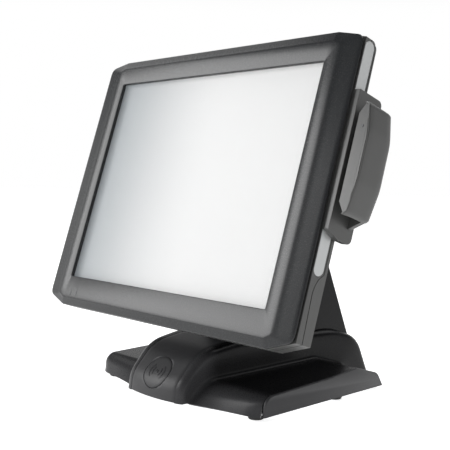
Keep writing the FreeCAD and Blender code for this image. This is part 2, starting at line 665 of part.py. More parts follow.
def make_base_housing():
    hump, hump_hollow = hump_form("hump_outer", "0"), hump_form("hump_hollow", "wall", "floor_z - 1")
    wing = wing_form("wing_outer", "0", "0")
    wing_hollow = wing_form("wing_hollow", "wall", "wall + panel_thick + panel_gap", "floor_z - 1")
    ends = [end_region(f"end_cut_{side + 1}", side, "panel_thick + panel_gap") for side in (-1, 1)]
    opening = block("pod_opening", ("-pod_half - panel_gap", "pod_half + panel_gap"),
                    ("-200", "-pod_end + panel_gap"), ("floor_z + 3", "80"))
    neck_hole = block("neck_hole", ("-core_out - 2", "core_out + 2"), ("2", "98"), ("40", "70"))
    outer = fuse("base_outer", [hump, wing])
    keep("base_shell", cut("base_cut", outer, [hump_hollow, wing_hollow, opening, neck_hole] + ends))
    for name, side in (("left", -1), ("right", 1)):
        end = end_region(f"end_keep_{name}", side, "panel_thick")
        keep(f"end_panel_{name}", common(f"end_{name}", wing, end))
    pod_region = block("pod_region", ("-pod_half", "pod_half"), ("-200", "-pod_end"), ("floor_z + 3.3", "80"))
    skin = common("pod_skin", cut("hump_skin", hump, [hump_hollow]), pod_region)
    keep("front_panel", cut("front_panel_cut", skin, [mark_rod("mark_hole", "disc_r + 0.4", "12", "24")]))
    keep("contactless_mark", common("mark_form", skin, mark_rod("mark_disc", "disc_r", "12", "24")))
    keep("antenna_board", mark_rod("antenna_form", "disc_r - 2", "9", "1.6"))


def make_base_inside():
    floor_low, floor_top = "floor_z + 0.6", "floor_z + 0.6 + floor_thick"
    side_inset = "wall + panel_thick + panel_gap + rim_gap"
    inside = fuse("plate_outline", [hump_form("hump_plate", "(wall + rim_gap)", "floor_z - 1"),
                                    wing_form("wing_plate", "(wall + rim_gap)", side_inset, "floor_z - 1")])
    slab = block("base_slab", ("-base_half", "base_half"), ("-hump_front + 10", "hump_rear"),
                 (floor_low, floor_top))
    keep("base_plate", common("base_plate_form", inside, slab))
    keep("ballast_plate", block("ballast_form", ("-95", "95"), ("-94", "-2"), (floor_top, f"{floor_top} + 8")))
    keep("power_supply", block("supply_form", ("-36", "36"), ("-90", "-4"), (f"{floor_top} + 8.2", "46")))
    places = [(x, y) for y, half in (("-95", "111"), ("22", "107"), ("118", "46")) for x in (f"-{half}", half)]
    keep("feet", group("foot_group", [rod(f"foot_{k}", "foot_r", "z", (x, y, "0"), floor_low)
                                      for k, (x, y) in enumerate(places)]))
    screws = [(x, y) for y, half in (("-109", "30"), ("-20", "100"), ("100", "30")) for x in (f"-{half}", half)]
    keep("base_screws", group("base_screw_group", [
        rod(f"base_screw_{k}", "screw_r + 1.3", "z", (x, y, f"{floor_low} - 0.5"), "0.5")
        for k, (x, y) in enumerate(screws)]))


# ---------------------------------------------------------------- neck

def neck_form(label, inset):
    """The wedge-shaped neck, leaning forward to the hinge; inset shrinks it for the hollow."""
    body = new_body(label)
    profile = [(f"-13 + {inset}", "30"), (f"119.5 - 1.1 * {inset}", "30"),
               (f"77.5 - 0.9 * {inset}", f"146 - 0.5 * {inset}"),
               (f"2 - 0.4 * {inset}", f"neck_top - {inset}"), (f"-42.5 + {inset}", f"neck_top - {inset}"),
               (f"-42.5 + {inset}", "165")]
    pad(body, "YZ", profile, "-neck_half_low - 5", "neck_half_low + 5")
    for radius, across, above in (("40", 76, 130), ("25", 1, 150), ("18", -41, 180)):
        round_edges(body, radius, lambda edge: edge.BoundBox.XLength > 50 and abs(edge.CenterOfMass.y - across) < 4
                    and edge.CenterOfMass.z > above)
    for side in (1, -1):
        carve(body, "XZ", [(f"{side} * (neck_half_low - {inset})", "30"),
                           (f"{side} * (neck_half_top - {inset})", "neck_top"),
                           (f"{side} * (neck_half_top - {inset})", "neck_top + 9"), (f"{side} * 90", "neck_top + 9"),
                           (f"{side} * 90", "20"), (f"{side} * (neck_half_low - {inset})", "20")])
    return body


def make_neck():
    form, hollow = neck_form("neck_outer", "0"), neck_form("neck_hollow", "wall")
    foot = 30
    round_edges(form, "4", lambda edge: edge.BoundBox.ZMin > foot - 1 and edge.BoundBox.XLength < 20
                and edge.BoundBox.ZMax > foot + 6)
    under = hump_form("hump_clearance", "(0 - 0.4)")
    gap = block("bracket_gap", ("-slot_half", "slot_half"), ("-60", "-3"), ("158", "neck_top + 5"))
    opening = block("neck_opening", ("-26.3", "26.3"), ("60", "150"), ("64", "130"))
    shell = cut("neck_skin", form, [hollow, under])
    keep("neck_shell", cut("neck_cut", shell, [gap, opening]))
    keep("neck_rear_cover", common("neck_rear_form", shell, block("neck_rear_region", ("-26", "26"), ("60", "150"),
                                                                  ("64.3", "129.7"))))


def make_neck_core():
    """The steel support: two upright plates on a foot plate, with the tilt axis at the top."""
    foot_low, foot_top = "floor_z + 0.6 + floor_thick", "floor_z + 3.6 + floor_thick"
    outline = [("8", foot_low), ("92", foot_low), ("92", "52"),
               (f"{HINGE_Y} + core_r * 0.7", f"{HINGE_Z} + core_r * 0.7"),
               (f"{HINGE_Y} - core_r * 0.85", f"{HINGE_Z} - core_r * 0.5"), ("8", "52")]
    pieces = [block("core_foot", ("-core_in", "core_in"), ("8", "92"), (foot_low, foot_top))]
    for side in (-1, 1):
        x = ("core_in", "core_out") if side > 0 else ("-core_out", "-core_in")
        pieces.append(prism(f"core_plate_{side + 1}", "YZ", outline, *x))
        pieces.append(rod(f"core_end_{side + 1}", "core_r", "x", (x[0], HINGE_Y, HINGE_Z), "core_out - core_in"))
    bore = rod("core_bore", "shaft_r + running", "x", ("-40", HINGE_Y, HINGE_Z), "80")
    keep("neck_core", cut("core_cut", fuse("core_form", pieces), [bore]))
    ties = [rod(f"tie_{k}", "4", "x", ("-core_in", y, z), "2 * core_in")
            for k, (y, z) in enumerate((("20", "100"), ("50", "70")))]
    keep("core_tie_rods", group("tie_group", ties))
    bolts = [rod(f"core_bolt_{k}", "4", "z", (x, y, foot_top), "3")
             for k, (x, y) in enumerate((x, y) for x in ("-14", "14") for y in ("20", "80"))]
    keep("core_bolts", group("core_bolt_group", bolts))


# ---------------------------------------------------------------- build

def check_and_write():
    """Stops on any failed object, then writes one file per sub-part."""
    doc.recompute()
    failed = [item.Label for item in doc.Objects if {"Invalid", "Error"} & set(item.State)]
    failed += [item.Label for item in parts if item.Shape.isNull() or not item.Shape.isValid()]
    if failed:
        raise RuntimeError("failed: " + ", ".join(failed))
    os.makedirs("parts", exist_ok=True)
    for item in parts:
        item.Shape.exportStep(f"parts/{item.Label}.step")
        print(f"{item.Label}: {len(item.Shape.Solids)} solid(s), {item.Shape.Volume / 1000:.2f} cm3")


fill_sheet()
make_front_bezel()
make_status_light_pipes()
make_screen_stack()
make_side_frame()
make_side_inlays()
make_rear_cover()
make_ports()
make_inner_pieces()
make_power_button()
make_hinge()
make_friction_bushes()
make_card_reader()
make_magnetic_pickup()
make_base_housing()
make_base_inside()
make_neck()
make_neck_core()
check_and_write()
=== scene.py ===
import json
import math

import bmesh
import bpy
from mathutils import Matrix, Vector


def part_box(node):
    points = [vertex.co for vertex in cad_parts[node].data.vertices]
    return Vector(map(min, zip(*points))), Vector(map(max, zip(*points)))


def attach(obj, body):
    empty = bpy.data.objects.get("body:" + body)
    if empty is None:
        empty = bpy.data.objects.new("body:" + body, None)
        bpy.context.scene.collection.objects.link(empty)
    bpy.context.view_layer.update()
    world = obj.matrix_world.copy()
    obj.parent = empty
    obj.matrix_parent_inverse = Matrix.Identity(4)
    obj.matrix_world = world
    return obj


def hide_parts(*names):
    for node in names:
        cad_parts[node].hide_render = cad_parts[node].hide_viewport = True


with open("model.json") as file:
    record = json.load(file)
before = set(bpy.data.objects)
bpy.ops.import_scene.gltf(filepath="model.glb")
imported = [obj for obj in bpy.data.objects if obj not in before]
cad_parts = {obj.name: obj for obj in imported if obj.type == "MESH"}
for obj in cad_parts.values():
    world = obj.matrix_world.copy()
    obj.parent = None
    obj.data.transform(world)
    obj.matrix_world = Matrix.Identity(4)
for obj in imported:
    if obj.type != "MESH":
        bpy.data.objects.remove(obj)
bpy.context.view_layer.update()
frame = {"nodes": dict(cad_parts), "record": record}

record = frame["record"]
body_of = {node: body for body, nodes in record["behaviour"]["bodies"].items() for node in nodes}
slot_of = {part["node"]: part["material_slot"] for part in record["subparts"]}

# Lengths are in millimetres, except in the studio and where Blender takes metres.
MM, MICRON = 0.001, 0.000001

# ---------------------------------------------------------------- places on the head and the base

TILT = math.radians(17.16)
HINGE_DEPTH, HINGE_DROP = 84, 20
hinge = Vector(next(j["pos_m"] for j in record["behaviour"]["joints"] if j["name"] == "head_tilt"))


def head_point(x, depth, high):
    """A point of the tilted head: across, behind and above the middle of the bezel's front plane."""
    back, up = depth - HINGE_DEPTH, high + HINGE_DROP
    return Vector((x * MM, hinge.y + (back * math.cos(TILT) + up * math.sin(TILT)) * MM,
                   hinge.z + (up * math.cos(TILT) - back * math.sin(TILT)) * MM))


def head_local(p):
    """The reverse of head_point: (x, depth, high) of a point in metres."""
    away, rise = (p.y - hinge.y) / MM, (p.z - hinge.z) / MM
    return (p.x / MM, away * math.cos(TILT) - rise * math.sin(TILT) + HINGE_DEPTH,
            away * math.sin(TILT) + rise * math.cos(TILT) - HINGE_DROP)


def base_point(x, y, z):
    """A point of the base: across, behind the middle and above the counter."""
    return Vector((x * MM, y * MM, z * MM))


# ---------------------------------------------------------------- lines and outlines

def distances(line):
    """How far along a line each of its points lies."""
    lengths = [0]
    for before, after in zip(line, line[1:]):
        lengths.append(lengths[-1] + (after - before).length)
    return lengths


def evenly(line, count):
    """The same line with evenly spaced points."""
    lengths = distances(line)
    result, k = [], 1
    for i in range(count):
        at = lengths[-1] * i / (count - 1)
        while k < len(line) - 1 and lengths[k] < at:
            k += 1
        span = lengths[k] - lengths[k - 1]
        result.append(line[k - 1].lerp(line[k], (at - lengths[k - 1]) / span if span else 0))
    return result


def corner_arc(before, at, after, radius, count):
    """Points that round one corner of a flat outline."""
    into, out = (at - before), (after - at)
    turn = into.angle(out)
    reach = min(radius * math.tan(turn / 2), into.length * 0.49, out.length * 0.49)
    start, end = at - into.normalized() * reach, at + out.normalized() * reach
    points = []
    for k in range(count):
        t = k / (count - 1)
        points.append(start * (1 - t) ** 2 + at * 2 * t * (1 - t) + end * t * t)
    return points


def smooth_path(points, radii, count):
    """An open line with rounded corners, divided evenly."""
    points = [Vector(p) for p in points]
    line = [points[0]]
    for before, at, after, radius in zip(points, points[1:], points[2:], radii):
        line += corner_arc(before, at, after, radius, 9)
    return evenly(line + [points[-1]], count)


def rounded_outline(corners, radius, counts):
    """A closed outline with rounded corners and a fixed number of points on every edge."""
    corners = [Vector(c) for c in corners]
    following = corners[1:] + corners[:1]
    arcs = [corner_arc(corners[k - 1], c, following[k], radius, 5) for k, c in enumerate(corners)]
    points = []
    for k, bend in enumerate(arcs):
        after = arcs[(k + 1) % len(arcs)][0]
        points += bend
        points += [bend[-1].lerp(after, i / counts[k]) for i in range(1, counts[k])]
    return points


def clipped_rectangle(half, low, top, run, low_drop, top_drop, radius):
    """A rectangle with clipped corners, each as wide as run and as high as its drop."""
    corners = [(half, -low + low_drop), (half, top - top_drop), (half - run, top), (-half + run, top),
               (-half, top - top_drop), (-half, -low + low_drop), (-half + run, -low), (half - run, -low)]
    return rounded_outline(corners, radius, (16, 3, 16, 3, 16, 3, 16, 3))


def circle(count):
    """The angles of evenly spaced points on a circle."""
    return [2 * math.pi * k / count for k in range(count)]


# ---------------------------------------------------------------- meshes and pieces

def add_loft(bm, rows, around=True, caps=False, along=False):
    """Joins rows of points with quads; around closes each row, along joins the last row to the first."""
    grid = [[bm.verts.new(p) for p in row] for row in rows]
    steps = len(grid) if along else len(grid) - 1
    count = len(grid[0])
    for k in range(steps):
        low, top = grid[k], grid[(k + 1) % len(grid)]
        for i in range(count if around else count - 1):
            j = (i + 1) % count
            bm.faces.new((low[i], low[j], top[j], top[i]))
    if caps:
        bm.faces.new(grid[0][::-1])
        bm.faces.new(grid[-1])
    return grid


def add_band(bm, inner, outer):
    """Joins two closed loops of vertices with quads."""
    for k in range(len(inner)):
        n = (k + 1) % len(inner)
        bm.faces.new((inner[k], inner[n], outer[n], outer[k]))


def finish_mesh(name, bm, sharp=35):
    """A smooth-shaded mesh whose edges are sharp past an angle in degrees."""
    bmesh.ops.recalc_face_normals(bm, faces=bm.faces[:])
    mesh = bpy.data.meshes.new(name)
    bm.to_mesh(mesh)
    bm.free()
    for face in mesh.polygons:
        face.use_smooth = True
    mesh.set_sharp_from_angle(angle=math.radians(sharp))
    return mesh


def put_in_scene(name, data):
    made = bpy.data.objects.new(name, data)
    bpy.context.scene.collection.objects.link(made)
    return made


def applied(draft):
    """The mesh that an object's modifiers give; the object itself is removed."""
    made = bpy.data.meshes.new_from_object(draft.evaluated_get(bpy.context.evaluated_depsgraph_get()))
    bpy.data.objects.remove(draft)
    return made


def add_piece(name, mesh, body, slot, *replaced):
    """Puts a piece in the scene with its material, the body it rides and the CAD nodes it replaces."""
    piece = put_in_scene(name, mesh)
    piece.data.materials.clear()
    piece.data.materials.append(looks[slot])
    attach(piece, body)
    if replaced:
        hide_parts(*replaced)


def islands(node):
    """The box of each separate lump of a CAD node, as (lowest, highest) corners in metres."""
    bm = bmesh.new()
    bm.from_mesh(frame["nodes"][node].data)
    bmesh.ops.remove_doubles(bm, verts=bm.verts[:], dist=2 * MICRON)
    left = set(bm.verts)
    found = []
    while left:
        stack = [next(iter(left))]
        lump = set(stack)
        while stack:
            for edge in stack.pop().link_edges:
                for vert in edge.verts:
                    if vert not in lump:
                        lump.add(vert)
                        stack.append(vert)
        left -= lump
        low = Vector(min(vert.co[i] for vert in lump) for i in range(3))
        high = Vector(max(vert.co[i] for vert in lump) for i in range(3))
        found.append((low, high))
    bm.free()
    return sorted(found, key=lambda box: (round(box[0].y, 4), round(box[0].x, 4)))


# ---------------------------------------------------------------- materials

MIX_FIRST, MIX_SECOND, MIX_RESULT = 6, 7, 2


def add_mix(tree, share, first, second):
    """Mixes two colours, each a colour or a socket, by a socket's share of the second one."""
    mix = tree.nodes.new("ShaderNodeMix")
    mix.data_type = "RGBA"
    tree.links.new(share, mix.inputs[0])
    for place, colour in ((MIX_FIRST, first), (MIX_SECOND, second)):
        if isinstance(colour, tuple):
            mix.inputs[place].default_value = (*colour, 1)
        else:
            tree.links.new(colour, mix.inputs[place])
    return mix.outputs[MIX_RESULT]


def add_range(tree, value, low, high, to_low=0, to_high=1, soft=False):
    """Maps the stretch from low to high to another one; soft eases both of its ends."""
    stretch = tree.nodes.new("ShaderNodeMapRange")
    stretch.interpolation_type = "SMOOTHSTEP" if soft else "LINEAR"
    for name, number in (("From Min", low), ("From Max", high), ("To Min", to_low), ("To Max", to_high)):
        stretch.inputs[name].default_value = number
    tree.links.new(value, stretch.inputs["Value"])
    return stretch.outputs["Result"]


def add_noise(tree, place, scale, detail):
    noise = tree.nodes.new("ShaderNodeTexNoise")
    noise.inputs["Scale"].default_value = scale
    noise.inputs["Detail"].default_value = detail
    tree.links.new(place, noise.inputs["Vector"])
    return noise.outputs[0]


def place_along(tree, space, axis):
    """The socket that says where a point lies along one axis."""
    where = tree.nodes.new("ShaderNodeTexCoord")
    parts = tree.nodes.new("ShaderNodeSeparateXYZ")
    tree.links.new(where.outputs[space], parts.inputs["Vector"])
    return parts.outputs[axis]


def grained(name, rough, metallic=0, grain=30, pitch=0.8, coat=0, specular=0.5, brushed=(1, 1, 1)):
    """A shader with a fine grain, in microns high and with its pitch in millimetres, and uneven gloss."""
    mat = bpy.data.materials.new(name)
    mat.use_nodes = True
    tree = mat.node_tree
    shader = tree.nodes["Principled BSDF"]
    shader.inputs["Metallic"].default_value = metallic
    shader.inputs["Specular IOR Level"].default_value = specular
    shader.inputs["Coat Weight"].default_value = coat
    shader.inputs["Coat Roughness"].default_value = 0.18
    where = tree.nodes.new("ShaderNodeTexCoord")
    place = tree.nodes.new("ShaderNodeMapping")
    place.inputs["Scale"].default_value = brushed
    tree.links.new(where.outputs["Object"], place.inputs["Vector"])
    fine = add_noise(tree, place.outputs["Vector"], 1 / (pitch * MM), 2)
    gloss = add_range(tree, fine, 0.25, 0.75, max(0.02, rough - 0.06), min(1, rough + 0.06))
    tree.links.new(gloss, shader.inputs["Roughness"])
    bump = tree.nodes.new("ShaderNodeBump")
    bump.inputs["Strength"].default_value = 1
    bump.inputs["Distance"].default_value = grain * MICRON
    tree.links.new(fine, bump.inputs["Height"])
    tree.links.new(bump.outputs["Normal"], shader.inputs["Normal"])
    return mat


def material(name, color, spread=0.1, wear=0, **look):
    """A moulded, painted or metal surface: a grained shader with uneven tone and lighter rubbed edges."""
    mat = grained(name, **look)
    tree = mat.node_tree
    where = tree.nodes.new("ShaderNodeTexCoord")
    broad = add_noise(tree, where.outputs["Object"], 16, 5)
    darker, lighter = (tuple(min(1, c * share) for c in color) for share in (1 - spread, 1 + spread))
    tone = add_mix(tree, broad, darker, lighter)
    if wear:
        form = tree.nodes.new("ShaderNodeNewGeometry")
        edges = add_range(tree, form.outputs["Pointiness"], 0.53, 0.66, to_high=wear)
        tone = add_mix(tree, edges, tone, tuple(min(1, c * 1.7 + 0.02) for c in color))
    tree.links.new(tone, tree.nodes["Principled BSDF"].inputs["Base Color"])
    return mat


def front_painted_light_material(name, painted_light_color, front, rear, **look):
    """A plastic with painted light: a lighter colour at the base's front edge, standing in for the light that
    falls on the front and for the highlight on the hump's crest there, that fades to its own darker one.
    """
    mat = material(name, **look)
    tree = mat.node_tree
    base_color = tree.nodes["Principled BSDF"].inputs["Base Color"]
    painted_light_share = add_range(tree, place_along(tree, "Object", "Y"), front * MM, rear * MM, soft=True)
    tree.links.new(add_mix(tree, painted_light_share, painted_light_color, base_color.links[0].from_socket), base_color)
    return mat


def display_material(name):
    """The pale, faintly lit display: an even sweep from grey-blue on the left to white on the right."""
    mat = grained(name, 0.35, grain=1, pitch=4, specular=0.15)
    tree = mat.node_tree
    shader = tree.nodes["Principled BSDF"]
    sweep = add_range(tree, place_along(tree, "Object", "X"), -190 * MM, 30 * MM, soft=True)
    tint = add_mix(tree, sweep, (0.137, 0.152, 0.162), (0.372, 0.372, 0.370))
    tree.links.new(tint, shader.inputs["Base Color"])
    tree.links.new(tint, shader.inputs["Emission Color"])
    shader.inputs["Emission Strength"].default_value = 1
    return mat


def glass_material(name):
    """Anti-glare touch glass: a thin clear layer that keeps a soft sheen."""
    mat = material(name, (0.82, 0.84, 0.85), rough=0.24, grain=1, pitch=4, spread=0.01)
    mat.node_tree.nodes["Principled BSDF"].inputs["Alpha"].default_value = 0.07
    return mat


SURFACES = {
    "bezel_plastic": dict(color=(0.016, 0.0172, 0.0183), rough=0.25, specular=0.32, grain=10, pitch=0.7),
    "housing_plastic": dict(color=(0.049, 0.0495, 0.048), rough=0.34, wear=0.1, specular=0.52, grain=14),
    "silver_trim": dict(color=(0.43, 0.44, 0.44), rough=0.34, metallic=0.55, grain=5, pitch=0.3, spread=0.05),
    "base_grey_plastic": dict(color=(0.03, 0.03, 0.032), rough=0.42, specular=0.3, grain=12),
    "black_rubber": dict(color=(0.013, 0.013, 0.013), rough=0.75, grain=40, pitch=1.2, spread=0.25),
    "zinc_steel": dict(color=(0.52, 0.53, 0.54), rough=0.36, metallic=1, grain=8, pitch=0.7,
                       brushed=(1, 0.06, 1)),
    "black_steel": dict(color=(0.022, 0.022, 0.023), rough=0.5, metallic=0.2, wear=0.4),
    "cast_weight": dict(color=(0.075, 0.077, 0.08), rough=0.68, metallic=0.35, grain=120, pitch=2,
                        spread=0.3),
    "circuit_board": dict(color=(0.018, 0.1, 0.045), rough=0.4, grain=20, pitch=1.5, spread=0.3, coat=0.3),
    "heat_sink_metal": dict(color=(0.62, 0.63, 0.64), rough=0.35, metallic=1, grain=10, brushed=(0.05, 1, 1)),
    "connector_metal": dict(color=(0.58, 0.58, 0.57), rough=0.28, metallic=1, grain=6, brushed=(1, 1, 0.08)),
    "connector_plastic": dict(color=(0.018, 0.018, 0.02), rough=0.45, grain=10),
    "light_pipe": dict(color=(0.035, 0.037, 0.04), rough=0.3, grain=4, spread=0.06),
    "speaker_black": dict(color=(0.02, 0.02, 0.02), rough=0.6, grain=40),
    "bronze_bush": dict(color=(0.46, 0.29, 0.12), rough=0.38, metallic=1, grain=20, spread=0.2),
}
looks = {name: material(name, **look) for name, look in SURFACES.items()}
# The base plastic carries painted light: a lighter grey over the front of the wings and the hump, fading out
# towards the rear.
looks["base_plastic"] = front_painted_light_material("base_plastic", (0.036, 0.036, 0.038), front=-106, rear=-82,
                                        color=(0.003, 0.003, 0.0035), rough=0.29, specular=0.16, grain=3)
looks["screen_glass"] = glass_material("screen_glass")
looks["display"] = display_material("display")
for node, slot in slot_of.items():
    shown = frame["nodes"][node]
    shown.data.materials.clear()
    shown.data.materials.append(looks[slot])

# ---------------------------------------------------------------- eased CAD pieces

# The head's outline: half width, below, above, corner run, lower corner's drop, upper corner's drop.
RIM = (190, 148, 144, 30, 10, 6)
# The depth of the housing's rear face at the top of the head.
HOUSING_REAR = 24.5
# The CAD nodes that show with rounded edges, and how wide the rounding is.
EASED = {
    "side_frame": 0.5, "rear_cover": 1.0, "side_inlay_left": 0.5, "side_inlay_right": 0.5, "reader_wall": 0.4,
    "reader_housing": 0.6, "neck_shell": 0.6, "neck_rear_cover": 0.5, "power_button": 0.5, "lan_jack": 0.3,
    "usb_sockets": 0.25, "serial_socket": 0.3, "printer_socket": 0.3, "power_inlet": 0.3,
    "rear_cover_screws": 0.2, "base_screws": 0.2, "base_plate": 0.4, "neck_core": 0.4,
    "hinge_head_bracket": 0.4, "magnetic_pickup": 0.25,
}


def round_top_corners(bm):
    """Rounds the rear edges of the two clipped top corners, where the long top edge's rounding runs out."""
    radius, overlap, on_surface, inner_gap = 8, 10, 0.2, 0.6
    half, _, top, corner_run, _, corner_drop = RIM
    run, slope = half - corner_run, corner_drop / corner_run
    middle = head_point(0, 0, 0)
    backwards = (head_point(0, 1, 0) - middle).normalized()
    leans = {side: (head_point(side * slope, 0, 1) - middle).normalized() for side in (1, -1)}
    for inset in (0.3, 0.9, 1.8, 3, 4.4, 6, radius):
        cuts = [(head_point(0, HOUSING_REAR - inset, 0), backwards)]
        cuts += [(head_point(side * run, 0, top) - lean * inset * MM, lean) for side, lean in leans.items()]
        for at, facing in cuts:
            whole = bm.verts[:] + bm.edges[:] + bm.faces[:]
            bmesh.ops.bisect_plane(bm, geom=whole, plane_co=at, plane_no=facing)
    for vert in bm.verts:
        x, depth, high = head_local(vert.co)
        below = (top - max(0, abs(x) - run) * slope - high) / math.hypot(1, slope)
        ahead = HOUSING_REAR - depth
        if abs(x) < run - overlap or below > radius or ahead > radius:
            continue
        # Points of the wall's inner side stay inner_gap inside the outer rounding.
        limit = radius if min(below, ahead) < on_surface else radius - inner_gap
        far = math.hypot(radius - below, radius - ahead)
        if far > limit:
            share = 1 - limit / far
            vert.co -= leans[1 if x > 0 else -1] * (radius - below) * share * MM
            vert.co -= backwards * (radius - ahead) * share * MM


def eased(node, width):
    """A CAD node's own shape with its hard edges rounded, as a new mesh."""
    bm = bmesh.new()
    bm.from_mesh(frame["nodes"][node].data)
    bmesh.ops.remove_doubles(bm, verts=bm.verts[:], dist=2 * MICRON)
    bmesh.ops.dissolve_limit(bm, angle_limit=math.radians(0.6), verts=bm.verts[:], edges=bm.edges[:])
    if node == "rear_cover":
        round_top_corners(bm)
    mesh = bpy.data.meshes.new(node + "_eased")
    bm.to_mesh(mesh)
    bm.free()
    mesh.validate()
    draft = put_in_scene("draft", mesh)
    bevel = draft.modifiers.new("bevel", "BEVEL")
    bevel.width = width * MM
    bevel.segments = 2
    bevel.limit_method = "ANGLE"
    bevel.angle_limit = math.radians(32)
    bevel.use_clamp_overlap = True
    weighted = draft.modifiers.new("weighted", "WEIGHTED_NORMAL")
    weighted.keep_sharp = True
    for face in mesh.polygons:
        face.use_smooth = True
    return applied(draft)


def make_eased_pieces():
    """The eased pieces; the reader's housing wears the head's housing plastic, like the reader's skin."""
    for node, width in EASED.items():
        slot = "housing_plastic" if node == "reader_housing" else slot_of[node]
        add_piece(node + "_form", eased(node, width), body_of[node], slot, node)


# ---------------------------------------------------------------- bezel and status lights

OPEN_X, OPEN_Z = 153, 115
# The flat band's outer outline, as RIM gives the head's.
BAND = (165, 139, 134, 6, 4, 4)
GLASS_DEPTH, BEZEL_REAR = 3, 7.3
BEVEL_STEPS = (0, 0.04, 0.08, 0.13, 0.18, 0.24, 0.4, 0.55, 0.7, 0.82, 0.9, 0.94, 0.97, 0.99)


def window(grow):
    return clipped_rectangle(OPEN_X + grow, OPEN_Z + grow, OPEN_Z + grow, 1.2, 1.2, 1.2, 0.8)


def rim(inset):
    half, low, top, *corners = RIM
    return clipped_rectangle(half - inset, low - inset, top - inset, *corners, 9)


def bevel_depth(t):
    """The bevel's depth from the band (0) to the rim (1): a soft start, an even slope and a rolled edge."""
    return 3.1 * t * min(1, 0.2 + t * 3.5) + 0.6 * max(0, (t - 0.9) / 0.1) ** 2


def make_bezel():
    band, outer, lip = clipped_rectangle(*BAND, 5), rim(0), window(0.8)
    sections = [(window(0), GLASS_DEPTH), (window(0), 0.8), (window(0.25), 0.25), (lip, 0)]
    sections.append(([a.lerp(b, 0.9) for a, b in zip(lip, band)], 0))
    for t in BEVEL_STEPS:
        sections.append(([a.lerp(b, t) for a, b in zip(band, outer)], bevel_depth(t)))
    sections += [(outer, 3.9), (outer, 4.4), (rim(0.5), 4.9), (rim(3), 5), (rim(3), BEZEL_REAR),
                 (window(10), BEZEL_REAR), (window(10), GLASS_DEPTH)]
    bm = bmesh.new()
    add_loft(bm, [[head_point(p.x, depth, p.y) for p in line] for line, depth in sections], along=True)
    add_piece("bezel_ring", finish_mesh("bezel_ring", bm, 40), "head", "bezel_plastic", "front_bezel")


def make_light_bars():
    """Two small upright bars that stand a quarter of a millimetre proud of the bezel."""
    half, low, top = 0.75, -137, -129
    bm = bmesh.new()
    for box_low, box_high in islands("status_light_pipes"):
        middle = (box_low.x + box_high.x) / 2 / MM
        outline = rounded_outline([(half, low), (half, top), (-half, top), (-half, low)], 0.7, (4, 2, 4, 2))
        add_loft(bm, [[head_point(middle + p.x * (1 - inset), depth, p.y) for p in outline]
                      for inset, depth in ((0, 1), (0, -0.12), (0.25, -0.25))], caps=True)
    add_piece("status_light_bars", finish_mesh("status_light_bars", bm), "head", "light_pipe",
              "status_light_pipes")


# ---------------------------------------------------------------- card reader's outer skin

# The skin's outer side seen from the front, as (x, high), and its profile across, as (inset, depth): the
# groove at the front edge, the flat side and the turned-in rear edge.
READER_LINE = [(211.2, -25.4), (214.6, -23.4), (219.4, 3.5), (219.4, 46.5), (213.6, 73), (210.2, 75)]
READER_ACROSS = [(1.9, 4.02), (1.85, 4.9), (1.3, 4.9), (1.2, 4), (0.6, 3.85), (0.14, 4.3), (0, 5.2), (0, 12),
                 (0, 20), (0, 28), (0.05, 33), (0.5, 35.6), (1.4, 36.8), (2.6, 37.2), (2.6, 35.2), (1.7, 33)]
# The flange's inner edge lies at the housing's side, and at least FLANGE_WIDTH inside the skin.
FLANGE_END, FLANGE_WIDTH = 215.3, 2.1


def make_reader_skin():
    """The card reader's bowed outer side, with a flange that meets the housing."""
    line = smooth_path(READER_LINE, (3, 60, 60, 4), 48)
    rows = []
    for k, p in enumerate(line):
        before, after = line[max(k - 1, 0)], line[min(k + 1, len(line) - 1)]
        lean = (after - before).normalized()
        out = Vector((lean.y, -lean.x))
        inner = min(FLANGE_END, p.x - FLANGE_WIDTH)
        flange = [head_point(inner, depth, p.y) for depth in (7, 4.02)]
        side = [head_point(p.x - out.x * inset, depth, p.y - out.y * inset) for inset, depth in READER_ACROSS]
        rows.append(flange + side)
    bm = bmesh.new()
    add_loft(bm, rows, caps=True)
    add_piece("reader_skin", finish_mesh("reader_skin", bm, 50), "head", "housing_plastic", "reader_cover")


# ---------------------------------------------------------------- base surface

# The base is a hump down the middle and two wings, each with its own profile (y, z) from front to rear.
FLOOR = 4.2
HUMP_FRONT, HUMP_REAR = -135, 136
HUMP = smooth_path([(HUMP_FRONT, FLOOR), (-132, 22), (-104, 51), (-60, 58), (78, 59), (117, 47),
                    (HUMP_REAR, FLOOR)], (40, 50, 90, 80, 35), 400)
WING_FRONT = -100
WING = smooth_path([(WING_FRONT, FLOOR), (-99, 17.5), (-92, 23.4), (44, 30.5), (84, 19.5), (95.5, FLOOR)],
                   (12, 12, 22, 14), 400)
# The rows of points rise to FORE_END, cross the deck to REAR_START and fall to the rear.
FORE_END, REAR_START = -82, 40
FORE_ROWS, DECK_ROWS, REAR_ROWS = 34, 30, 26
PANEL_HALF, PANEL_REAR = 35, -40
SHELL_WALL = 2.2
HUMP_FRONT_HALF, HUMP_REAR_HALF = 43.5, 65
# The wings' outer end at the front and halfway, its taper behind that, and the room left for an end panel.
END_FRONT, END_MIDDLE, END_TAPER, END_PANEL = 127, 124.5, 11.5 / 97, 3.3
# How far the front bows back at BOW_HALF from the middle, and how far up the profile the bow has faded out.
BOW, BOW_HALF, BOW_FADE = 5, 42, 78
# How far the wing's lower front edge lies ahead of its outer end, by the distance from the middle.
WING_REACH = [(46, 20.5), (80, 12.5), (112, 7), (END_FRONT, 0)]
# The height where that lead has faded out.
LEAD_TOP = 24
# The rounding of the hump's crest, which grows towards the rear, and of its foot. Both shrink where the hump
# rises less than LOW_STEP from the wing.
CREST_FRONT, CREST_GROWTH, CREST_TURN = 6, 3, math.radians(86)
FILLET, FILLET_TURN = 5, math.radians(90)
LOW_STEP = 13
SIDE_LEAN = 0.4


def stretch_of(line, low, high, count):
    """The part of a profile between two depths, divided evenly."""
    return evenly([p for p in line if low <= p.x <= high], count)


def point_at(line, y):
    return Vector((y, min(line, key=lambda p: abs(p.x - y)).y))


